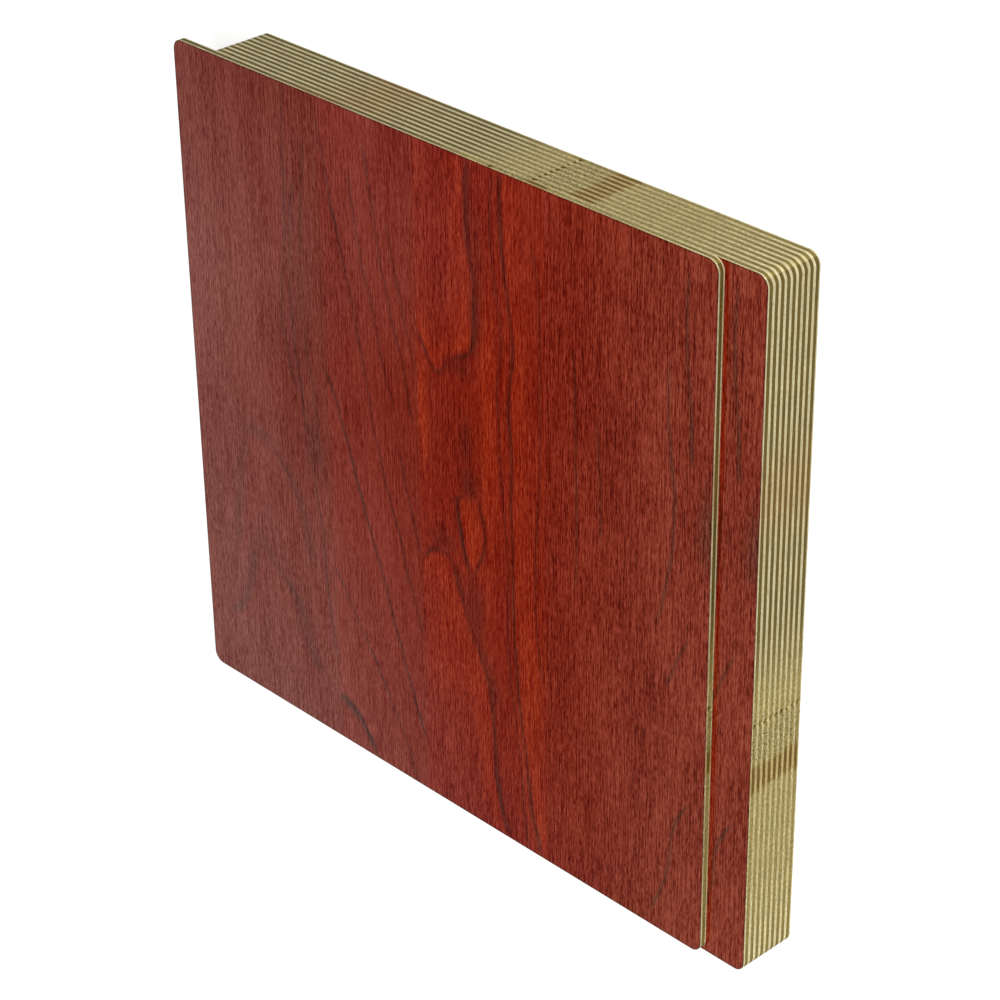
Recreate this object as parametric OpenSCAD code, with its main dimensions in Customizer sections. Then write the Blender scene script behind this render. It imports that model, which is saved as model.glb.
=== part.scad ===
// Stack of square plywood sheets, lying flat.
// Each sheet is three plies glued face to face: a back ply, a thick core ply and a face ply.
// All sheets lie flush with one another, apart from the top one, which has slid to one side.
// Millimetres, +Z up. The origin is at the centre of the lowest sheet's underside.

/* [Sheet] */
// Length of a sheet along X
sheet_length = 300; // [100:1:1220]
// Width of a sheet along Y
sheet_width = 300; // [100:1:1220]
// Radius of a sheet's corners
corner_radius = 5; // [1:0.5:40]

/* [Plies] */
// Thickness of the face ply, on the upper side of a sheet
face_ply_thickness = 0.65; // [0.3:0.05:2]
// Thickness of the core ply, in the middle of a sheet
core_ply_thickness = 1.7; // [0.6:0.1:6]
// Thickness of the back ply, on the lower side of a sheet
back_ply_thickness = 0.65; // [0.3:0.05:2]

/* [Stack] */
// Number of sheets in the stack
sheet_count = 10; // [2:1:20]
// How far the top sheet has slid towards -X
top_sheet_slide = 20; // [0:1:60]

/* [Hidden] */
// Fineness of the rounded corners
$fn = 64;
// Thickness of a whole sheet
sheet_thickness = back_ply_thickness + core_ply_thickness + face_ply_thickness;
// Kinds of ply in a sheet, from its underside up
PLIES = ["back_ply", "core_ply", "face_ply"];

// Name of one ply of a sheet, such as sheet_03_core_ply; the lowest sheet is number 1
function ply_name(sheet, ply) = str("sheet_", sheet < 10 ? "0" : "", sheet, "_", ply);

// How far a sheet lies from the middle of the stack along X
function slide_x(sheet) = sheet == sheet_count ? -top_sheet_slide : 0;

// Height of a sheet's underside
function underside_z(sheet) = (sheet - 1) * sheet_thickness;

// Outline of a sheet: a rectangle whose corners are true arcs
module sheet_outline() {
    square([sheet_length - 2 * corner_radius, sheet_width], center = true);
    square([sheet_length, sheet_width - 2 * corner_radius], center = true);
    for (x = [-1, 1], y = [-1, 1])
        translate([x * (sheet_length / 2 - corner_radius), y * (sheet_width / 2 - corner_radius)])
            circle(corner_radius);
}

// A veneer cut to the sheet's outline, at a height above the underside of its sheet
module ply_blank(sheet, height, thickness) {
    translate([slide_x(sheet), 0, underside_z(sheet) + height])
        linear_extrude(thickness)
            sheet_outline();
}

// Pale veneer on the underside of a sheet
module back_ply(sheet) {
    color("#C9BC92")
        ply_blank(sheet, 0, back_ply_thickness);
}

// Thick dark veneer in the middle of a sheet, its grain across that of the other two
module core_ply(sheet) {
    color("#75653A")
        ply_blank(sheet, back_ply_thickness, core_ply_thickness);
}

// Veneer on the upper side of a sheet, with a red wood-grain surface
module face_ply(sheet) {
    color("#7E2A1F")
        ply_blank(sheet, back_ply_thickness + core_ply_thickness, face_ply_thickness);
}

for (sheet = [1 : sheet_count]) {
    back_ply(sheet);
    core_ply(sheet);
    face_ply(sheet);
}
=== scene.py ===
"""Looks of a stack of plywood sheets with red cherry faces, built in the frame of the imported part."""

import logging
import math
from dataclasses import dataclass
from enum import IntEnum

import bpy
import numpy as np
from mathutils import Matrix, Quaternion, Vector


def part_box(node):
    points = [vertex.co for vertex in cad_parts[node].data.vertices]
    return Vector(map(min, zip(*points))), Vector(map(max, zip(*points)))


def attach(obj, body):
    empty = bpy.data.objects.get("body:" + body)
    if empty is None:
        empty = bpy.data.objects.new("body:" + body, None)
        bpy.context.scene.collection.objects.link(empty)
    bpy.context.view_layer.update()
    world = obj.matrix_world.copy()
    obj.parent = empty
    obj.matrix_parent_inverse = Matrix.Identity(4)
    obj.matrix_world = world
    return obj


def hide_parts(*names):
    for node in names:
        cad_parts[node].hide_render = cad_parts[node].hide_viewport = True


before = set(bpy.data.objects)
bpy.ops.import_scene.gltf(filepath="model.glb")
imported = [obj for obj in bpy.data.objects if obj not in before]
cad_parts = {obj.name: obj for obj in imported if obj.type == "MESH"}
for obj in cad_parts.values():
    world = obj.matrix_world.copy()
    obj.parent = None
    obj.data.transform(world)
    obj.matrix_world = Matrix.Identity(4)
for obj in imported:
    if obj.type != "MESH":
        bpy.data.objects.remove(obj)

LOG = logging.getLogger("plywood_stack")
MM = 0.001
SHEET_COUNT = sum(name.endswith("_core_ply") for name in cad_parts)
# the sheet's own map, in metres, which all its materials read
MAP_NAME = "sheet"
# most of a random pattern's values lie between these two
PATTERN_RANGE = (0.3, 0.7)

Socket = bpy.types.NodeSocket
Input = Socket | float | tuple[float, ...]
Colour = tuple[float, float, float, float]
Stop = tuple[float, str | Colour]


class Skin(IntEnum):
    """Surfaces of a sheet, in the order of its material slots."""

    CHERRY_FACE = 0
    VENEER_EDGE = 1
    CORE_EDGE = 2
    VENEER_BACK = 3


def linear(hex_colour: str) -> Colour:
    """Turn an sRGB hex colour into linear light, by the curve that the sRGB standard gives.

    Args:
        hex_colour: Six hex digits after a hash sign.

    Returns:
        Linear red, green and blue, and an alpha of 1.
    """
    srgb = [int(hex_colour[i:i + 2], 16) / 255 for i in (1, 3, 5)]
    rgb = [c / 12.92 if c <= 0.04045 else ((c + 0.055) / 1.055) ** 2.4 for c in srgb]
    return rgb[0], rgb[1], rgb[2], 1.0


@dataclass
class NodeSheet:
    """A material's node tree while it is being drawn up."""

    material: bpy.types.Material

    def __post_init__(self) -> None:
        """Start from an empty tree."""
        self.material.use_nodes = True
        self.tree = self.material.node_tree
        self.tree.nodes.clear()

    def add(self, kind: str, *inputs: Input, out: int | str = 0, named: dict[str, Input] | None = None,
            stops: list[Stop] | None = None, even: bool = True,
            curve: list[tuple[float, float]] | None = None, **settings: object) -> Socket:
        """Add a node with its settings and links.

        Args:
            kind: Blender's name of the node, without the word ShaderNode.
            inputs: What goes into the first sockets, in order.
            out: The output to hand back.
            named: What goes into sockets by name.
            stops: Places and colours of a colour ramp, sRGB hex or linear.
            even: Whether the ramp blends from stop to stop.
            curve: Points of a float curve, from 0 to 1 both ways.
            settings: Properties of the node.

        Returns:
            The chosen output socket, or the node's first input where it has no output.
        """
        node = self.tree.nodes.new("ShaderNode" + kind)
        for name, value in settings.items():
            setattr(node, name, value)
        if stops:
            ramp = node.color_ramp
            ramp.interpolation = "LINEAR" if even else "CONSTANT"
            while len(ramp.elements) < len(stops):
                ramp.elements.new(1.0)
            for element, (place, colour) in zip(ramp.elements, stops):
                element.position = place
                element.color = linear(colour) if isinstance(colour, str) else colour
        if curve:
            points = node.mapping.curves[0].points
            while len(points) < len(curve):
                points.new(1.0, 1.0)
            for point, place in zip(points, sorted(curve)):
                point.location = place
            node.mapping.extend = "EXTRAPOLATED"
            node.mapping.update()
        for key, value in [*enumerate(inputs), *(named or {}).items()]:
            if isinstance(value, Socket):
                self.tree.links.new(value, node.inputs[key])
            else:
                node.inputs[key].default_value = value
        return node.outputs[out] if node.outputs else node.inputs[0]

    def millimetres(self) -> Socket:
        """Place on the sheet's own map, in millimetres."""
        metres = self.add("UVMap", uv_map=MAP_NAME)
        return self.add("VectorMath", metres, (1 / MM,) * 3, operation="MULTIPLY")

    def pattern(self, mm: Socket, size: tuple[float, float], detail: float) -> Socket:
        """Random pattern whose spots are as wide and as long as a size in millimetres."""
        scaled = self.add("VectorMath", mm, (1 / size[0], 1 / size[1], 0.0), operation="MULTIPLY")
        return self.add("TexNoise", scaled, named={"Scale": 1.0, "Detail": detail}, noise_dimensions="2D")


@dataclass(frozen=True)
class GrainLine:
    """The edge of a growth ring, through points in millimetres.

    An upright line goes from the top down and is dark on its left. A level one goes from left to right
    and is dark below. Flip puts the dark on the other side. Dark is how dark the late wood is, over the
    width of its shade, and glow is how bright the early wood past it is. Soft is how wide the step between
    them is.
    """

    board: int
    points: tuple[tuple[float, float], ...]
    dark: float
    glow: float = 0.0
    shade: float = 3.0
    flip: bool = False
    level: bool = False
    soft: float = 0.8


@dataclass(frozen=True)
class Smudge:
    """A soft oval: its middle and reach in millimetres, and how dark or bright it makes the wood."""

    board: int
    x: float
    y: float
    reach_x: float
    reach_y: float
    dark: float = 0.0
    glow: float = 0.0


@dataclass(frozen=True)
class CherryFace:
    """Cherry wood-grain laminate: printed, pressed with short pores and left satin.

    To the eye it is deep red wood under a thin clear skin. Broad lights lie on it as a soft haze, and the
    duller pores break that up. Four boards lie side by side, the fourth with nearly straight grain. A ring
    is dark up to its edge and bright past it. Sizes are in millimetres from the middle of the sheet, with
    the grain along Y.
    """

    name: str = "cherry_laminate_embossed_satin"
    half: float = 150.0
    corner: float = 5.0
    rim: float = 1.1
    rim_dark: float = 0.75
    seams: tuple[float, float, float] = (-62.8, -7.3, 64.0)
    boards: tuple[str, str, str, str] = ("#701E0D", "#781D0B", "#7D1804", "#781907")
    bright: str = "#A83008"
    line: str = "#400D04"
    reach: float = 24.0
    # how far a line fades within and past its ends, and the share of a smudge that has its full strength
    line_fade: tuple[float, float] = (5.0, 2.0)
    smudge_full: float = 0.1
    # these marks were drawn, then moved by up to 3 mm and rounded when the camera was fitted again
    smudges: tuple[Smudge, ...] = (
        Smudge(0, -109.5, -17.5, 18, 7, 0.25),
        Smudge(0, -73, -8.5, 9, 30, 0.3),
        Smudge(0, -77.5, 69.5, 14, 70, 0.2),
        Smudge(0, -110.5, -72.5, 13, 8, 0.25),
        Smudge(0, -87, -98, 8, 20, 0.3),
        Smudge(2, 15.5, 60.5, 13, 8, 0.5),
        Smudge(2, 27.5, 100, 7, 45, 0.35),
        Smudge(2, 21.5, 10.5, 9, 13, 0.6),
        Smudge(2, 20.5, 27.5, 7, 22, 0.4),
        Smudge(2, 9.5, 29.5, 26, 42, 0.15),
        Smudge(2, 5.5, -21.5, 12, 10, 0.4),
        Smudge(2, 24, -47.5, 9, 27, 0.58),
        Smudge(2, -4.5, 32.5, 5, 36, 0.0, 0.4),
        Smudge(2, 33, 39.5, 7, 110, 0.0, 0.3),
        Smudge(2, 55, -60.5, 12, 90, 0.0, 0.3),
        Smudge(2, 6.5, -62.5, 16, 50, 0.0, 0.2),
        Smudge(3, 149, 41.5, 9, 28, 0.6),
    )
    grain_lines: tuple[GrainLine, ...] = (
        GrainLine(0, ((-82.5, 150), (-83.5, 114), (-84.5, 84), (-87.5, 63.5), (-88.5, 43.5), (-85.5, 29.5),
                      (-81.5, 13.5)), 0.59, 0.0, 2.5),
        GrainLine(0, ((-78.5, 110), (-82.5, 69.5), (-82.5, 49.5), (-79.5, 21.5), (-75, -6.5),
                      (-65, -20.5)), 0.59, 0.0, 2.5),
        GrainLine(0, ((-70.5, 130), (-75.5, 59.5), (-74.5, 37.5), (-71, 17.5), (-69, -8.5), (-64, -28.5)),
                  0.52, 0.0, 2.5),
        GrainLine(0, ((-76, -8.5), (-72, -30.5), (-69, -50.5), (-67, -80.5), (-63, -112)), 0.59, 0.0, 2.5),
        GrainLine(0, ((-119.5, -26.5), (-112.5, -16.5), (-103.5, -18.5), (-95.5, -24.5), (-88.5, -34.5)),
                  0.4, 0.04, 7.0, True, True, 5.0),
        GrainLine(0, ((-94.5, -25.5), (-89.5, -32.5), (-84, -42.5), (-80, -56.5), (-78, -70.5)),
                  0.5, 0.04, 7.0, True, False, 3.5),
        GrainLine(0, ((-117.5, -24.5), (-121.5, -38.5), (-125.5, -58.5), (-128.5, -80.5)),
                  0.3, 0.04, 6.0, False, False, 4.0),
        GrainLine(0, ((-116.5, -80.5), (-111.5, -71.5), (-103.5, -80.5), (-93, -85.5)),
                  0.35, 0.04, 6.0, True, True, 4.0),
        GrainLine(0, ((-98, -82.5), (-89, -92.5), (-84, -102), (-80, -118), (-75, -124)),
                  0.55, 0.04, 7.0, True, False, 3.5),
        GrainLine(0, ((-114.5, -76.5), (-116.5, -82.5), (-120.5, -96.5), (-125.5, -108), (-132.5, -118)),
                  0.5, 0.04, 7.0, False, False, 3.5),
        GrainLine(1, ((-62.5, 144), (-56, 112), (-51, 90), (-41, 51.5), (-32, 5.5), (-21.5, -26.5),
                      (-15.5, -48.5), (-7.5, -74.5)), 0.65, 0.0, 2.2),
        GrainLine(1, ((-35, 138), (-31, 116), (-28, 98), (-21, 69.5), (-15.5, 49.5), (-10.5, 25.5)),
                  0.59, 0.0, 2.2),
        GrainLine(1, ((-44, 124), (-38, 88), (-33, 69.5), (-27, 45.5), (-20.5, 25.5)), 0.45, 0.0, 2.2),
        GrainLine(1, ((-23, 110), (-15, 75.5), (-7.5, 47.5)), 0.52, 0.0, 2.2),
        GrainLine(1, ((-19.5, 11.5), (-14.5, -8.5), (-7.5, -34.5)), 0.59, 0.0, 2.2),
        GrainLine(1, ((-64, 33.5), (-54, 11.5), (-47, -10.5), (-39, -34.5), (-28.5, -62.5), (-18.5, -94),
                      (-6.5, -126)), 0.78, 0.0, 2.5),
        GrainLine(1, ((-64, -60.5), (-49, -82.5), (-36.5, -102), (-22.5, -128), (-12.5, -150)),
                  0.65, 0.0, 2.5),
        GrainLine(1, ((-64, -127), (-50.5, -133), (-44.5, -140), (-38.5, -152)),
                  0.9, 0.0, 7.0, False, True, 2.5),
        GrainLine(2, ((22.5, 150), (21.5, 130), (22.5, 114), (25.5, 100), (25.5, 86), (24.5, 73.5),
                      (20.5, 65.5)), 0.72, 0.25, 6.0, True, soft=1.2),
        GrainLine(2, ((-8.5, 74.5), (-5.5, 68.5), (-0.5, 59.5), (4, 54.5), (9.5, 59.5), (15.5, 64.5),
                      (25.5, 69.5)), 0.68, 0.35, 5.0, False, True, 1.5),
        GrainLine(2, ((23.5, 6), (19, 4), (15.7, 1.5), (15.6, -5), (17.2, -15), (19.5, -24), (22.3, -32)),
                  0.85, 0.4, 4.0, soft=1.2),
        GrainLine(2, ((23.5, 6), (26.5, 2.5), (29.5, -7.5), (29.5, -15), (27, -22.5), (22.3, -32)),
                  0.7, 0.3, 3.0, True, soft=1.2),
        GrainLine(2, ((-7.5, -37.5), (-5.5, -34.5), (0.5, -28.5), (8.5, -28.5), (12.5, -34.5)),
                  0.62, 0.35, 4.0, True, True, 1.4),
        GrainLine(2, ((9.5, -29.5), (11.5, -34.5), (17.5, -50.5), (25, -64.5), (30, -76), (32, -90)),
                  0.7, 0.3, 9.0, True, soft=1.2),
        GrainLine(2, ((30, -76), (32, -90), (35, -124), (41, -150)), 0.78, 0.3, 4.0, True),
        GrainLine(2, ((37.5, 150), (36, 120), (37.5, 104), (41, 88), (41, 75.5), (39, 65.5), (40, 29.5),
                      (43, -16.5), (44, -66.5), (47, -90), (54, -150)), 0.5, 0.1, 2.0),
        GrainLine(2, ((41.5, 150), (42.5, 120), (45, 100), (47.5, 83.5), (45.5, 57.5), (46, 37.5),
                      (47, -40.5), (48, -62.5), (51, -88), (56, -124), (62, -150)), 0.66, 0.24, 3.2),
        GrainLine(2, ((58, 124), (61.5, 104), (62, 59.5), (61, 21.5), (59, -16.5), (59.5, -36.5),
                      (63, -64)), 0.5, 0.0, 2.0),
        GrainLine(3, ((128.5, 104), (128.5, 73.5), (132, 45.5), (129.5, 15.5), (123.5, -10.5)),
                  0.62, 0.0, 2.4),
        GrainLine(3, ((136.5, 142), (136.5, 110), (138.5, 89.5), (140.5, 65.5)), 0.7, 0.0, 2.4),
        GrainLine(3, ((141.5, -6.5), (134.5, -20.5), (129.5, -34.5)), 0.7, 0.0, 2.4),
        GrainLine(3, ((142.5, -82), (134.5, -98), (132.5, -116), (123.5, -142)), 0.7, 0.0, 2.4),
        GrainLine(3, ((80, 92), (81, 49.5), (81.5, 9.5), (81, -12.5)), 0.62, 0.0, 2.0),
        GrainLine(3, ((91.5, 65.5), (94, 39.5), (94.5, 13.5)), 0.62, 0.0, 2.0),
    )
    # a slow wander bends the rings, a fine fray roughens them, and in patches they are less clear
    wander: tuple[float, float] = (9.0, 20.0)
    wander_by: float = 2.0
    fray: tuple[float, float] = (1.2, 9.0)
    fray_by: float = 1.0
    patch: tuple[float, float] = (17.0, 40.0)
    patch_range: tuple[float, float] = (0.35, 0.6)
    patch_clear: tuple[float, float] = (0.8, 1.15)
    # real pores are a tenth of a millimetre wide: they are drawn coarser, so that the render shows them
    pore: tuple[float, float] = (0.43, 2.7)
    long_pore: tuple[float, float] = (0.61, 5.8)
    pore_range: tuple[float, float] = (0.74, 1.28)
    pore_tone: tuple[float, float] = (-0.38, 0.32)
    streak: tuple[float, float] = (0.75, 26.0)
    streak_tone: tuple[float, float] = (-0.26, 0.26)
    cloud: tuple[float, float] = (24.0, 110.0)
    cloud_tone: tuple[float, float] = (0.9, 1.1)
    # how strong the grain is at first, and what the third and the fourth board add to that
    grain_depth: tuple[float, float, float] = (0.8, 0.22, 0.18)
    # green and blue follow the grain more strongly than red
    tint_power: tuple[float, float, float] = (1.0, 2.4, 4.0)
    tone_range: tuple[float, float] = (0.65, 1.35)
    # the pores are duller than the wood between them; the mean is the shader's own default
    gloss: tuple[float, float] = (0.15, 0.85)
    roughness: float = 0.125
    ior: float = 1.5
    emboss_strength: float = 0.08
    emboss_depth: float = 0.04
    emboss_streak: float = 0.5

    def material(self) -> bpy.types.Material:
        """Draw up the laminate.

        Returns:
            The finished material.
        """
        sheet = NodeSheet(bpy.data.materials.new(self.name))
        add = sheet.add
        mm = sheet.millimetres()
        across = add("MapRange", add("SeparateXYZ", mm, out=0), -self.half, self.half, 0.0, 1.0)
        board = add("ValToRGB", across, stops=self.board_stops(), even=False)
        rings = self.rings(sheet, mm)
        bright = add("SeparateXYZ", rings, out=1)
        dark = add("Math", add("SeparateXYZ", rings, out=0), self.rim_shade(sheet, mm), operation="MAXIMUM")
        colour = add("MixRGB", bright, board, linear(self.bright))
        colour = add("MixRGB", dark, colour, linear(self.line))
        # broad clouds, long streaks and pores of two lengths
        cloud = sheet.pattern(mm, self.cloud, detail=2.0)
        streak = sheet.pattern(mm, self.streak, detail=3.0)
        short = sheet.pattern(mm, self.pore, detail=2.0)
        long = sheet.pattern(mm, self.long_pore, detail=2.0)
        pore = add("Math", short, long, operation="ADD")
        depth: Input = self.grain_depth[0]
        for seam, more in zip(self.seams[1:], self.grain_depth[1:]):
            past = add("Math", across, self.share(seam), operation="GREATER_THAN")
            depth = add("Math", past, more, depth, operation="MULTIPLY_ADD")
        grain = add("Math", add("MapRange", streak, *PATTERN_RANGE, *self.streak_tone),
                    add("MapRange", pore, *self.pore_range, *self.pore_tone), operation="ADD")
        clouded = add("MapRange", cloud, *PATTERN_RANGE, *self.cloud_tone)
        tone = add("Math", grain, depth, clouded, operation="MULTIPLY_ADD")
        gloss = add("MapRange", tone, *self.tone_range, *self.gloss)
        tint = add("VectorMath", tone, self.tint_power, operation="POWER")
        colour = add("VectorMath", colour, tint, operation="MULTIPLY")
        height = add("Math", streak, self.emboss_streak, pore, operation="MULTIPLY_ADD")
        bump = add("Bump", named={"Height": height, "Strength": self.emboss_strength,
                                  "Distance": self.emboss_depth * MM})
        shader = add("BsdfPrincipled", named={
            "Base Color": colour,
            "Roughness": self.roughness,
            "IOR": self.ior,
            "Specular IOR Level": gloss,
            "Normal": bump,
        })
        add("OutputMaterial", shader)
        return sheet.material

    def board_stops(self) -> list[Stop]:
        """Starts of the four boards across the sheet, from 0 to 1, with their colours."""
        return list(zip([0.0, *map(self.share, self.seams)], self.boards))

    def rim_shade(self, sheet: NodeSheet, mm: Socket) -> Socket:
        """Darken a thin band of the face along its rim.

        Args:
            sheet: The node sheet.
            mm: Place on the sheet in millimetres.

        Returns:
            Darkness, from nought inside the rim to the full at the arris, round the corners too.
        """
        inner = self.half - self.corner
        past = sheet.add("VectorMath", mm, operation="ABSOLUTE")
        past = sheet.add("VectorMath", past, (inner, inner, 0.0), operation="SUBTRACT")
        past = sheet.add("VectorMath", past, (0.0, 0.0, 0.0), operation="MAXIMUM")
        out_by = sheet.add("VectorMath", past, operation="LENGTH", out="Value")
        return sheet.add("MapRange", out_by, self.corner - self.rim, self.corner, 0.0, self.rim_dark)

    def rings(self, sheet: NodeSheet, mm: Socket) -> Socket:
        """Draw the growth rings.

        Each has a distance across the grain that is negative on its dark side. A ramp turns it into
        darkness in red and brightness in green. On each board the rings are joined by taking the larger of
        each.

        Args:
            sheet: The node sheet.
            mm: Place on the sheet in millimetres.

        Returns:
            Darkness and brightness in the first two parts of a vector.
        """
        add = sheet.add
        wander = sheet.pattern(mm, self.wander, detail=2.0)
        fray = sheet.pattern(mm, self.fray, detail=2.0)
        middle = -(self.wander_by + self.fray_by) / 2
        shift = add("Math", wander, self.wander_by, middle, operation="MULTIPLY_ADD")
        shift = add("Math", fray, self.fray_by, shift, operation="MULTIPLY_ADD")
        place = add("VectorMath", mm, add("CombineXYZ", shift, shift, 0.0), operation="ADD")
        own_x = add("SeparateXYZ", mm, out=0)
        boards: list[Input] = []
        for board in range(len(self.boards)):
            lines = [line for line in self.grain_lines if line.board == board]
            smudges = [smudge for smudge in self.smudges if smudge.board == board]
            marks = [self.line_sides(sheet, place, line) for line in lines]
            marks += [self.smudge_side(sheet, place, smudge) for smudge in smudges]
            joined: Input = (0.0, 0.0, 0.0)
            for mark in marks:
                joined = add("VectorMath", joined, mark, operation="MAXIMUM")
            boards.append(joined)
        figure = boards[0]
        for seam, board_rings in zip(self.seams, boards[1:]):
            past = add("Math", own_x, seam, operation="GREATER_THAN")
            figure = add("MixRGB", past, figure, board_rings)
        patch = sheet.pattern(mm, self.patch, detail=1.0)
        clear = add("MapRange", patch, *self.patch_range, *self.patch_clear)
        return add("VectorMath", figure, operation="SCALE", named={"Scale": clear})

    def smudge_side(self, sheet: NodeSheet, place: Socket, smudge: Smudge) -> Socket:
        """Draw a smudge, from nought at its oval edge to the full in its middle.

        Args:
            sheet: The node sheet.
            place: Bent place on the sheet in millimetres.
            smudge: The smudge.

        Returns:
            Darkness and brightness in the first two parts of a vector.
        """
        add = sheet.add
        spread = (1 / smudge.reach_x, 1 / smudge.reach_y, 0.0)
        middle = (-smudge.x / smudge.reach_x, -smudge.y / smudge.reach_y, 0.0)
        local = add("VectorMath", place, spread, middle, operation="MULTIPLY_ADD")
        radius = add("VectorMath", local, operation="LENGTH", out="Value")
        share = add("MapRange", radius, self.smudge_full, 1.0, 1.0, 0.0, interpolation_type="SMOOTHSTEP")
        return add("VectorMath", (smudge.dark, smudge.glow, 0.0), operation="SCALE", named={"Scale": share})

    def line_sides(self, sheet: NodeSheet, place: Socket, line: GrainLine) -> Socket:
        """Draw the dark and the bright side of a line, which fades out at its ends.

        Args:
            sheet: The node sheet.
            place: Bent place on the sheet in millimetres.
            line: The line.

        Returns:
            Darkness and brightness in the first two parts of a vector.
        """
        add = sheet.add
        run, cross = (0, 1) if line.level else (1, 0)
        along = add("SeparateXYZ", place, out=run)
        share = add("MapRange", along, -self.half, self.half, 0.0, 1.0)
        course = [(self.share(point[run]), self.share(point[cross])) for point in line.points]
        centre = add("FloatCurve", 1.0, share, curve=course)
        centre = add("Math", centre, 2 * self.half, -self.half, operation="MULTIPLY_ADD")
        past = add("Math", add("SeparateXYZ", place, out=cross), centre, operation="SUBTRACT")
        reach = add("MapRange", past, -self.reach, self.reach, float(line.flip), float(not line.flip))
        sides = add("ValToRGB", reach, stops=self.ring_stops(line))
        ends = line.points[0][run], line.points[-1][run]
        half = abs(ends[0] - ends[1]) / 2
        away = add("Math", add("Math", along, sum(ends) / 2, operation="SUBTRACT"), operation="ABSOLUTE")
        fade = add("MapRange", away, half - self.line_fade[0], half + self.line_fade[1], 1.0, 0.0,
                   interpolation_type="SMOOTHSTEP")
        return add("VectorMath", sides, operation="SCALE", named={"Scale": fade})

    def share(self, millimetres: float) -> float:
        """Place on the sheet from 0 to 1."""
        return (millimetres + self.half) / (2 * self.half)

    def ring_stops(self, ring: GrainLine) -> list[Stop]:
        """Ramp across a ring: a slow shade, a thin line of late wood, then early wood that fades.

        Args:
            ring: The ring.

        Returns:
            Places from 0 to 1 over the ramp's reach, with darkness in red and brightness in green.
        """
        late = min(0.25 * ring.shade, 1.0)
        # millimetres past the ring's edge, share of its darkness, share of its glow
        levels = [
            (-ring.shade, 0.0, 0.0),
            (-0.5 * ring.shade, 0.4, 0.0),
            (-late - 0.2, 0.85, 0.0),
            (-0.2, 1.0, 0.0),
            (ring.soft, 0.0, 0.35),
            (ring.soft + 1.8, 0.0, 1.0),
            (ring.soft + ring.shade + 2.3, 0.0, 0.6),
            (ring.soft + 2 * ring.shade + 3.3, 0.0, 0.0),
        ]
        return [((at / self.reach + 1) / 2, (dark * ring.dark, glow * ring.glow, 0.0, 1.0))
                for at, dark, glow in levels]


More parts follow.
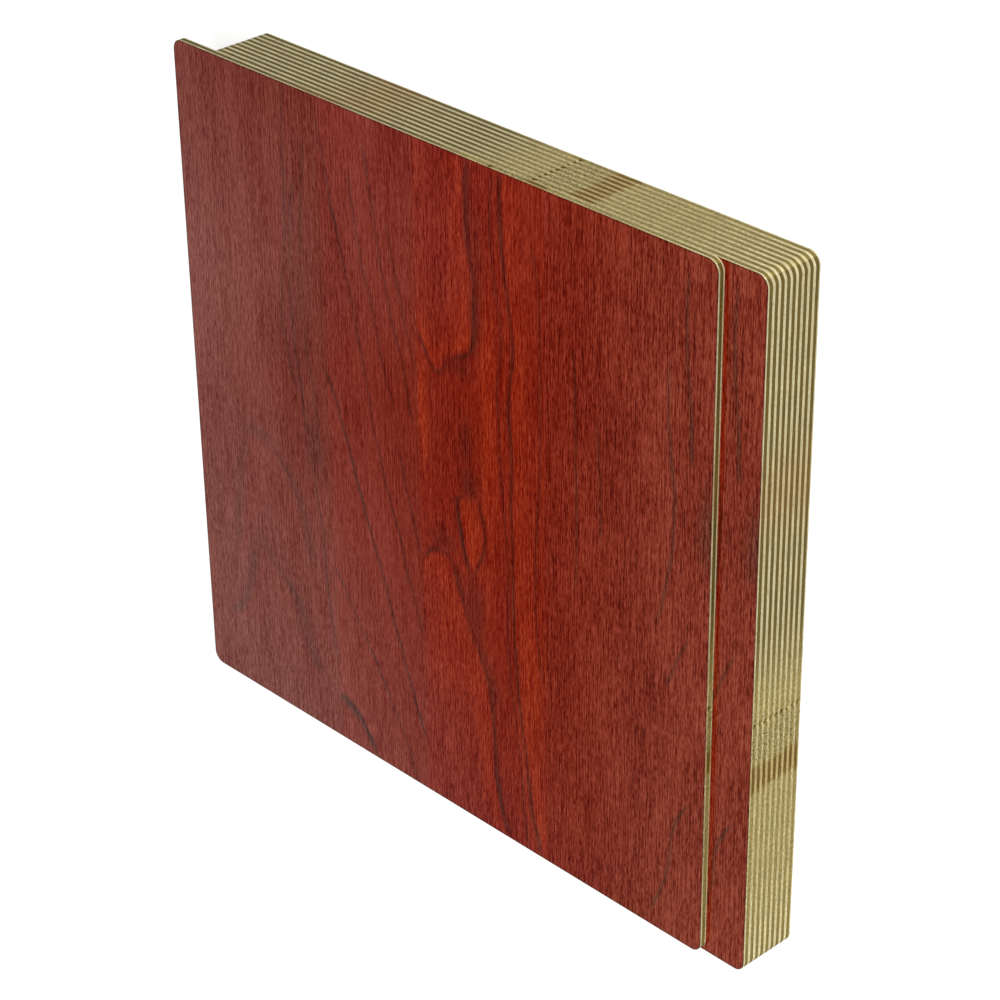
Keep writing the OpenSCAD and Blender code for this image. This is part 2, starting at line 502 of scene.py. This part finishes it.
@dataclass(frozen=True)
class SawnEdge:
    """Sawn edge of one ply of peeled veneer, left rough from the saw.

    To the eye it is matt and lined: grain runs along it, and its tone changes from zone to zone. Zones are
    in millimetres along the edge: a browner stretch, a paler and more mottled one, a small gap in the ply
    with painted shade in its hollow, open pores, a rusty stain and painted light that brightens the far
    end.
    """

    name: str
    colour: str
    brown: str
    pale: str
    stain: str
    pore_depth: float
    # painted shade: near-black colour of the gap's hollow, where shade falls
    gap: str = "#140E02"
    brown_zone: tuple[float, float] = (74.0, 102.0)
    brown_fade: float = 14.0
    pale_from: tuple[float, float] = (140.0, 182.0)
    gap_middle: tuple[float, float] = (185.0, 1.5)
    gap_half: tuple[float, float] = (1.15, 0.7)
    gap_fade: tuple[float, float] = (0.8, 1.05)
    sheet_thickness: float = 3.0
    pore_zone: tuple[float, float] = (187.0, 203.0)
    stain_zone: tuple[float, float] = (203.5, 215.0)
    short_fade: float = 2.0
    pale_to: tuple[float, float] = (248.0, 300.0)
    pale_end: float = 0.25
    # painted light: the edge is brightened towards its far end, as if more light falls there
    painted_light_from: tuple[float, float] = (255.0, 292.0)
    painted_light_end: float = 1.34
    # a soft wander keeps the zones' ends from lying in line
    wander: tuple[float, float] = (5.0, 2.5)
    wander_by: float = 7.0
    grain: tuple[float, float] = (10.0, 0.45)
    grain_tone: tuple[float, float] = (0.8, 1.2)
    mottle: tuple[float, float] = (1.5, 0.7)
    mottle_depth: float = 0.3
    stain_range: tuple[float, float] = (0.3, 0.6)
    stain_mottle: tuple[float, float] = (0.6, 1.0)
    # pores that the saw opens are a quarter of a millimetre wide: they are drawn coarser, to show
    stipple: tuple[float, float] = (0.65, 0.55)
    stipple_range: tuple[float, float] = (0.36, 0.58)
    pore_light: float = 0.22
    roughness: float = 0.75
    ior: float = 1.45
    specular: float = 0.2
    bump_strength: float = 0.4
    bump_depth: float = 0.06

    def material(self) -> bpy.types.Material:
        """Draw up the edge.

        Returns:
            The finished material.
        """
        sheet = NodeSheet(bpy.data.materials.new(self.name))
        add = sheet.add
        mm = sheet.millimetres()
        place = add("SeparateXYZ", mm, out=0)
        wander = sheet.pattern(mm, self.wander, detail=2.0)
        shift = add("Math", wander, self.wander_by, -self.wander_by / 2, operation="MULTIPLY_ADD")
        along = add("Math", shift, place, operation="ADD")
        spots = sheet.pattern(mm, self.mottle, detail=2.0)
        lines = sheet.pattern(mm, self.grain, detail=3.0)
        brown = self.zone(sheet, along, self.brown_zone, self.brown_fade)
        pores = self.zone(sheet, along, self.pore_zone, self.short_fade)
        stain = self.zone(sheet, along, self.stain_zone, self.short_fade)
        blotch = add("MapRange", spots, *self.stain_range, *self.stain_mottle)
        stain = add("Math", stain, blotch, operation="MULTIPLY")
        pale_in = add("MapRange", along, *self.pale_from, 0.0, 1.0, interpolation_type="SMOOTHSTEP")
        pale_out = add("MapRange", along, *self.pale_to, 1.0, self.pale_end,
                       interpolation_type="SMOOTHSTEP")
        pale = add("Math", pale_in, pale_out, operation="MULTIPLY")
        colour = add("MixRGB", brown, linear(self.colour), linear(self.brown))
        colour = add("MixRGB", pale, colour, linear(self.pale))
        colour = add("MixRGB", stain, colour, linear(self.stain))
        # painted shade: the gap's hollow is coloured near-black
        colour = add("MixRGB", self.gap_painted_shade(sheet, mm), colour, linear(self.gap))
        tone = add("MapRange", lines, *PATTERN_RANGE, *self.grain_tone)
        mottling = add("Math", pale, self.mottle_depth, self.mottle_depth, operation="MULTIPLY_ADD")
        mottled = add("MapRange", spots, *PATTERN_RANGE, -0.5, 0.5)
        tone = add("Math", mottled, mottling, tone, operation="MULTIPLY_ADD")
        stipple = sheet.pattern(mm, self.stipple, detail=1.0)
        holes = add("MapRange", stipple, *self.stipple_range, -self.pore_depth, self.pore_light)
        tone = add("Math", holes, pores, tone, operation="MULTIPLY_ADD")
        # painted light: brighten the far end of the edge
        light = add("MapRange", place, *self.painted_light_from, 1.0, self.painted_light_end)
        tone = add("Math", tone, light, operation="MULTIPLY")
        colour = add("VectorMath", colour, tone, operation="MULTIPLY")
        height = add("Math", holes, pores, lines, operation="MULTIPLY_ADD")
        bump = add("Bump", named={"Height": height, "Strength": self.bump_strength,
                                  "Distance": self.bump_depth * MM})
        shader = add("BsdfPrincipled", named={
            "Base Color": colour,
            "Roughness": self.roughness,
            "IOR": self.ior,
            "Specular IOR Level": self.specular,
            "Normal": bump,
        })
        add("OutputMaterial", shader)
        return sheet.material

    def gap_painted_shade(self, sheet: NodeSheet, mm: Socket) -> Socket:
        """Draw the round gap in the core, where two strips of veneer don't meet, as painted shade in its
        hollow.

        Args:
            sheet: The node sheet.
            mm: Place along the edge and height in millimetres.

        Returns:
            One inside the gap and nought outside it, at the same level of every sheet.
        """
        add = sheet.add
        level = add("Math", add("SeparateXYZ", mm, out=1), self.sheet_thickness, operation="MODULO")
        place = add("CombineXYZ", add("SeparateXYZ", mm, out=0), level, 0.0)
        spread = tuple(1 / half for half in self.gap_half)
        middle = tuple(-at / half for at, half in zip(self.gap_middle, self.gap_half))
        local = add("VectorMath", place, (*spread, 0.0), (*middle, 0.0), operation="MULTIPLY_ADD")
        radius = add("VectorMath", local, operation="LENGTH", out="Value")
        return add("MapRange", radius, *self.gap_fade, 1.0, 0.0)

    def zone(self, sheet: NodeSheet, along: Socket, ends: tuple[float, float], fade: float) -> Socket:
        """Draw a stretch of the edge with soft ends.

        Args:
            sheet: The node sheet.
            along: Place along the edge in millimetres.
            ends: Where the stretch begins and ends.
            fade: How far the fading reaches to either side of an end.

        Returns:
            One inside the stretch and nought outside it.
        """
        begin = sheet.add("MapRange", along, ends[0] - fade, ends[0] + fade, 0.0, 1.0,
                          interpolation_type="SMOOTHSTEP")
        end = sheet.add("MapRange", along, ends[1] - fade, ends[1] + fade, 1.0, 0.0,
                        interpolation_type="SMOOTHSTEP")
        return sheet.add("Math", begin, end, operation="MULTIPLY")


@dataclass(frozen=True)
class VeneerBack:
    """Pale peeled veneer, sanded.

    To the eye it is matt, with long faint grain and small dark flecks along it. Sizes are in millimetres.
    """

    name: str = "pale_veneer_sanded"
    light: str = "#D6C79C"
    dark: str = "#BCA978"
    grain: tuple[float, float] = (3.0, 120.0)
    fleck: tuple[float, float] = (0.7, 9.0)
    fleck_range: tuple[float, float] = (0.3, 0.45)
    fleck_tone: tuple[float, float] = (0.82, 1.0)
    roughness: float = 0.62
    ior: float = 1.45
    bump_strength: float = 0.3
    bump_depth: float = 0.05

    def material(self) -> bpy.types.Material:
        """Draw up the veneer.

        Returns:
            The finished material.
        """
        sheet = NodeSheet(bpy.data.materials.new(self.name))
        add = sheet.add
        mm = sheet.millimetres()
        bands = sheet.pattern(mm, self.grain, detail=4.0)
        flecks = sheet.pattern(mm, self.fleck, detail=2.0)
        blend = add("MapRange", bands, *PATTERN_RANGE, 0.0, 1.0)
        colour = add("MixRGB", blend, linear(self.light), linear(self.dark))
        tone = add("MapRange", flecks, *self.fleck_range, *self.fleck_tone)
        colour = add("VectorMath", colour, tone, operation="MULTIPLY")
        bump = add("Bump", named={"Height": flecks, "Strength": self.bump_strength,
                                  "Distance": self.bump_depth * MM})
        shader = add("BsdfPrincipled", named={
            "Base Color": colour,
            "Roughness": self.roughness,
            "IOR": self.ior,
            "Normal": bump,
        })
        add("OutputMaterial", shader)
        return sheet.material


@dataclass
class Sheet:
    """One plywood sheet: a cherry face, three plies on its sawn edges and a plain back. Sizes in metres."""

    number: int
    corner_radius: float = 5 * MM
    arris: float = 0.08 * MM
    core_set_in: float = 0.03 * MM
    step: float = 6 * MM
    corner_steps: int = 8
    arris_steps: int = 3
    core_rows: int = 8
    gap_place: float = 185 * MM
    gap_half: tuple[float, float] = (0.85 * MM, 0.75 * MM)
    gap_depth: float = 1.6 * MM
    gap_lift: float = 0.2 * MM
    # grid lines at the gap; their reach and the even lines' distance from it are in half widths of the gap
    gap_lines: int = 13
    gap_reach: float = 2.5
    gap_clear: float = 3.0

    def __post_init__(self) -> None:
        """Read the sheet's place and plies from its solids."""
        low, back_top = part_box(self.node("back_ply"))
        face_foot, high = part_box(self.node("face_ply"))
        self.low, self.high = np.array(low), np.array(high)
        self.middle = (self.low + self.high) / 2
        self.half = (self.high - self.low) / 2
        self.glue_z = (face_foot[2], back_top[2])

    @property
    def name(self) -> str:
        """Name of the piece."""
        return f"sheet_{self.number:02d}"

    def node(self, ply: str) -> str:
        """Name of one of the sheet's solids."""
        return f"{self.name}_{ply}"

    def lines(self, half: float, gap: float) -> np.ndarray:
        """Grid lines across the sheet: even steps, closer in the round corners and at the core's gap.

        Args:
            half: Half the sheet's size that way.
            gap: Where the core's gap comes out, from the middle.

        Returns:
            Sorted places of the lines, from the middle.
        """
        straight = half - self.corner_radius
        even = np.linspace(-straight, straight, round(2 * straight / self.step) + 1)
        round_part = straight + self.corner_radius * np.linspace(0, 1, self.corner_steps + 1)[1:]
        near = gap + np.linspace(-self.gap_reach, self.gap_reach, self.gap_lines) * self.gap_half[0]
        even = even[np.abs(even - gap) > self.gap_clear * self.gap_half[0]]
        return np.sort(np.concatenate([even, near, round_part, -round_part]))

    def profile(self) -> tuple[np.ndarray, np.ndarray, np.ndarray]:
        """Section of the edge, from the face's arris down to the back's.

        A quarter round, the face ply, the core set in a little, the back ply and a quarter round.

        Returns:
            How far each row is set in, its height, and the skin of the strip below it.
        """
        turn = np.linspace(0, np.pi / 2, self.arris_steps + 1)
        top_in = self.arris * (1 - np.sin(turn))
        top_z = self.high[2] - self.arris * (1 - np.cos(turn))
        core_z = np.linspace(self.glue_z[0], self.glue_z[1], self.core_rows + 1)
        core_in = np.full(core_z.size, self.core_set_in)
        low_z = self.low[2] + self.arris * (1 - np.cos(turn[::-1]))
        inset = np.concatenate([top_in, [0.0], core_in, [0.0], top_in[::-1]])
        height = np.concatenate([top_z, core_z[:1], core_z, core_z[-1:], low_z])
        # each outer ply has two strips more than its arris: its own edge and the small step to the core
        skins = np.concatenate([
            np.full(self.arris_steps + 2, Skin.VENEER_EDGE),
            np.full(self.core_rows, Skin.CORE_EDGE),
            np.full(2, Skin.VENEER_EDGE),
            np.full(self.arris_steps, Skin.VENEER_BACK),
        ])
        return inset, height, skins

    def face_grid(self) -> tuple[np.ndarray, np.ndarray]:
        """Lay a grid over the sheet and draw its corner squares in to quarter discs.

        A point's offset from the corner's centre keeps its direction, and its larger side becomes its
        length.

        Returns:
            Places from the sheet's middle, and their offsets past the straight part before the drawing in.
        """
        xs = self.lines(self.half[0], self.gap_place - self.half[0])
        ys = self.lines(self.half[1], self.half[1] - self.gap_place)
        flat = np.stack(np.meshgrid(xs, ys, indexing="ij"), -1)
        straight = self.half[:2] - self.corner_radius
        over = np.sign(flat) * np.maximum(np.abs(flat) - straight, 0)
        reach = np.hypot(over[..., 0], over[..., 1])
        largest = np.abs(over).max(-1)
        shrink = np.divide(largest, reach, out=np.ones_like(reach), where=reach > 0)
        return flat - over + over * shrink[..., None], over

    def build(self) -> bpy.types.Object:
        """Make the sheet's closed mesh.

        The face is the grid. The edge is the section carried round the grid's rim, set in along the outward
        normal, and the back is a fan from its middle.

        Returns:
            The sheet's object.
        """
        place, over = self.face_grid()
        across, along = place.shape[:2]
        index = np.arange(across * along).reshape(across, along)
        rim = np.concatenate([index[:-1, 0], index[-1, :-1], index[:0:-1, -1], index[0, :0:-1]])
        normal = over.reshape(-1, 2)[rim]
        normal = normal / np.linalg.norm(normal, axis=1, keepdims=True)
        inset, height, skins = self.profile()
        top = place.reshape(-1, 2)
        outline = top[rim]
        top[rim] -= normal * inset[0]
        depth = inset[1:, None] + self.gap_pit(outline, normal, height[1:])
        ring = outline[None] - normal[None] * depth[..., None]
        ring_z = np.broadcast_to(height[1:, None, None], ring.shape[:2] + (1,))
        points = np.concatenate([
            np.column_stack([top, np.full(len(top), self.high[2])]),
            np.concatenate([ring, ring_z], -1).reshape(-1, 3),
            [[0.0, 0.0, self.low[2]]],
        ])
        points[:, :2] += self.middle[:2]
        rows = len(top) + np.arange(ring.shape[0] * rim.size).reshape(-1, rim.size)
        rows = np.concatenate([rim[None], rows])
        after = np.roll(np.arange(rim.size), -1)
        face = np.stack([index[:-1, :-1], index[1:, :-1], index[1:, 1:], index[:-1, 1:]], -1).reshape(-1, 4)
        edge = np.stack([rows[:-1], rows[1:], rows[1:][:, after], rows[:-1][:, after]], -1).reshape(-1, 4)
        centre = np.full(rim.size, len(points) - 1)
        back = np.stack([rows[-1][after], rows[-1], centre], -1)
        slots = np.concatenate([
            np.full(len(face), Skin.CHERRY_FACE),
            np.repeat(skins, rim.size),
            np.full(len(back), Skin.VENEER_BACK),
        ])
        mesh = bpy.data.meshes.new(self.name)
        mesh.from_pydata(points, [], [*face.tolist(), *edge.tolist(), *back.tolist()])
        mesh.polygons.foreach_set("material_index", slots.astype(np.int32))
        mesh.update()
        self.lay_out(mesh, points, slots)
        piece = bpy.data.objects.new(self.name, mesh)
        bpy.context.collection.objects.link(piece)
        return piece

    def gap_pit(self, outline: np.ndarray, normal: np.ndarray, height: np.ndarray) -> np.ndarray:
        """Depth of the small gap in the core, where two strips of veneer don't meet.

        It is a bell, exp(-r to the fourth), in the distance along the edge and in height, near the core's
        middle.

        Args:
            outline: Points round the edge, from the sheet's middle.
            normal: Outward normals there.
            height: Heights of the rows.

        Returns:
            Depth for each row and point.
        """
        along = self.edge_place(outline, normal)
        drawn = np.random.default_rng(self.number)
        lift = drawn.uniform(-self.gap_lift, self.gap_lift)
        s = (along - self.gap_place) / self.gap_half[0]
        z = (height - sum(self.glue_z) / 2 - lift) / self.gap_half[1]
        return self.gap_depth * np.exp(-(s[None] ** 2 + z[:, None] ** 2) ** 2)

    def edge_place(self, outline: np.ndarray, normal: np.ndarray) -> np.ndarray:
        """Distance along an edge: from the left on the edges across the grain, from the top on the rest."""
        across = np.abs(normal[:, 1]) > np.abs(normal[:, 0])
        return np.where(across, outline[:, 0] + self.half[0], self.half[1] - outline[:, 1])

    def lay_out(self, mesh: bpy.types.Mesh, points: np.ndarray, slots: np.ndarray) -> None:
        """Give the mesh its map in metres: the sheet's plane on its faces, place and height on its edges.

        Args:
            mesh: The sheet's mesh.
            points: Its vertices.
            slots: The skin of each face.
        """
        corner = np.empty(len(mesh.loops), np.int32)
        mesh.loops.foreach_get("vertex_index", corner)
        sides = np.empty(len(mesh.polygons), np.int32)
        mesh.polygons.foreach_get("loop_total", sides)
        normal = np.empty(len(mesh.polygons) * 3, np.float32)
        mesh.polygons.foreach_get("normal", normal)
        normal = np.repeat(normal.reshape(-1, 3), sides, 0)
        skin = np.repeat(slots, sides)
        own = points[corner]
        local = own[:, :2] - self.middle[:2]
        edge = np.stack([self.edge_place(local, normal), own[:, 2]], -1)
        on_edge = (skin == Skin.VENEER_EDGE) | (skin == Skin.CORE_EDGE)
        chosen = np.where(on_edge[:, None], edge, local)
        layer = mesh.uv_layers.new(name=MAP_NAME)
        layer.data.foreach_set("uv", chosen.astype(np.float32).ravel())

    def dress(self, piece: bpy.types.Object, skins: dict[Skin, bpy.types.Material]) -> None:
        """Put the finishes on the sheet and tie it to its solids.

        Args:
            piece: The sheet's object.
            skins: The material of each skin.
        """
        for skin in Skin:
            piece.data.materials.append(skins[skin])
        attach(piece, "root")
        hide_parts(*(self.node(ply) for ply in ("back_ply", "core_ply", "face_ply")))
        LOG.info("%s: %d faces", self.name, len(piece.data.polygons))


@dataclass
class PlywoodStack:
    """All the sheets, from the lowest up."""

    count: int = SHEET_COUNT
    face: CherryFace = CherryFace()
    veneer_edge: SawnEdge = SawnEdge(
        "pale_veneer_sawn_edge",
        colour="#A89F7C",
        brown="#A3926C",
        pale="#A3966B",
        stain="#9F8A58",
        pore_depth=0.5,
    )
    core_edge: SawnEdge = SawnEdge(
        "dark_core_ply_sawn_edge",
        colour="#55471A",
        brown="#5E471D",
        pale="#817341",
        stain="#563B00",
        pore_depth=0.65,
    )
    back: VeneerBack = VeneerBack()

    def build(self) -> None:
        """Make every sheet and dress it."""
        skins = {
            Skin.CHERRY_FACE: self.face.material(),
            Skin.VENEER_EDGE: self.veneer_edge.material(),
            Skin.CORE_EDGE: self.core_edge.material(),
            Skin.VENEER_BACK: self.back.material(),
        }
        for number in range(1, self.count + 1):
            sheet = Sheet(number)
            sheet.dress(sheet.build(), skins)


@dataclass(frozen=True)
class SoftBox:
    """A studio light: place, width and height in metres, power in watts, roll, tint and what it aims at."""

    name: str
    place: tuple[float, float, float]
    sides: tuple[float, float]
    watts: float
    roll_deg: float = 0.0
    colour: str = "#FFFFFF"
    aim: tuple[float, float, float] = (0.0, 0.0, 0.015)

    def build(self) -> None:
        """Make the light."""
        data = bpy.data.lights.new(self.name, "AREA")
        data.shape = "RECTANGLE"
        data.size, data.size_y = self.sides
        data.energy = self.watts
        data.color = linear(self.colour)[:3]
        lamp = bpy.data.objects.new(self.name, data)
        lamp.location = self.place
        towards = Vector(self.aim) - Vector(self.place)
        roll = Quaternion((0.0, 0.0, 1.0), math.radians(self.roll_deg))
        lamp.rotation_euler = (towards.to_track_quat("-Z", "Y") @ roll).to_euler()
        bpy.context.collection.objects.link(lamp)


@dataclass
class Studio:
    """Pale floor, soft light and the camera, which looks down on the stack with the grain upright.

    The floor is opal acrylic lit from below: to the eye it is plain white, with hardly a shadow. Boxes
    near the camera light the face and the edges. Dim bars far behind the stack show only as the haze on
    its satin face.
    """

    floor_half: float = 6.0
    floor_drop: float = 0.05 * MM
    floor_name: str = "opal_acrylic_lit_table"
    floor_colour: str = "#949493"
    floor_glow: float = 0.78
    floor_roughness: float = 0.9
    floor_specular: float = 0.1
    sky: str = "#FFFFFF"
    sky_strength: float = 0.02
    camera_place: tuple[float, float, float] = (0.75269, 0.59418, 0.72528)
    camera_turn_deg: tuple[float, float, float] = (-30.6907, 46.1492, -0.9487)
    lens_mm: float = 108.013
    sensor_mm: float = 36.0
    boxes: tuple[SoftBox, ...] = (
        SoftBox("key_box", (3.3, 1.9, 5.8), (4.5, 4.5), 540.0),
        SoftBox("top_box", (0.0, 0.0, 4.0), (2.5, 2.5), 18.0),
        SoftBox("side_box", (2.285, 1.917, 0.33), (2.0, 0.5), 50.0),
        SoftBox("low_bar", (-6.42, -6.36, 4.28), (10.10, 2.78), 38.0, -9.4, "#FFF8EE"),
        SoftBox("low_bar_behind", (-6.55, -6.42, 4.00), (10.10, 2.78), 38.0, -9.4, "#FFF8EE"),
        SoftBox("end_box", (-7.19, -3.79, 5.82), (1.40, 1.31), 1.72, -16.1, "#FFF8EE"),
        SoftBox("high_bar", (-5.14, -4.79, 7.12), (9.33, 2.34), 40.0, -30.8, "#FFF1C5"),
    )

    def build(self) -> None:
        """Make the floor, the lights and the camera."""
        self.lay_floor()
        self.light()
        data = bpy.data.cameras.new("camera")
        data.lens = self.lens_mm
        data.sensor_width = self.sensor_mm
        camera = bpy.data.objects.new("camera", data)
        camera.location = self.camera_place
        camera.rotation_euler = [math.radians(turn) for turn in self.camera_turn_deg]
        bpy.context.collection.objects.link(camera)
        bpy.context.scene.camera = camera

    def lay_floor(self) -> None:
        """Make a plain square floor just under the stack."""
        edge, z = self.floor_half, -self.floor_drop
        corners = [(-edge, -edge, z), (edge, -edge, z), (edge, edge, z), (-edge, edge, z)]
        mesh = bpy.data.meshes.new("floor")
        mesh.from_pydata(corners, [], [(0, 1, 2, 3)])
        floor = bpy.data.objects.new("floor", mesh)
        bpy.context.collection.objects.link(floor)
        sheet = NodeSheet(bpy.data.materials.new(self.floor_name))
        shader = sheet.add("BsdfPrincipled", named={
            "Base Color": linear(self.floor_colour),
            "Roughness": self.floor_roughness,
            "Specular IOR Level": self.floor_specular,
            "Emission Color": linear(self.sky),
            "Emission Strength": self.floor_glow,
        })
        sheet.add("OutputMaterial", shader)
        mesh.materials.append(sheet.material)

    def light(self) -> None:
        """Make the even sky and the soft boxes."""
        scene = bpy.context.scene
        scene.view_settings.view_transform = "Standard"
        world = bpy.data.worlds.new("studio")
        world.use_nodes = True
        ground = world.node_tree.nodes["Background"]
        ground.inputs["Color"].default_value = linear(self.sky)
        ground.inputs["Strength"].default_value = self.sky_strength
        scene.world = world
        for box in self.boxes:
            box.build()


def main() -> None:
    """Build the stack and the studio."""
    logging.basicConfig(level=logging.INFO, format="%(message)s")
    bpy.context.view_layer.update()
    PlywoodStack().build()
    Studio().build()


if __name__ == "__main__":
    main()
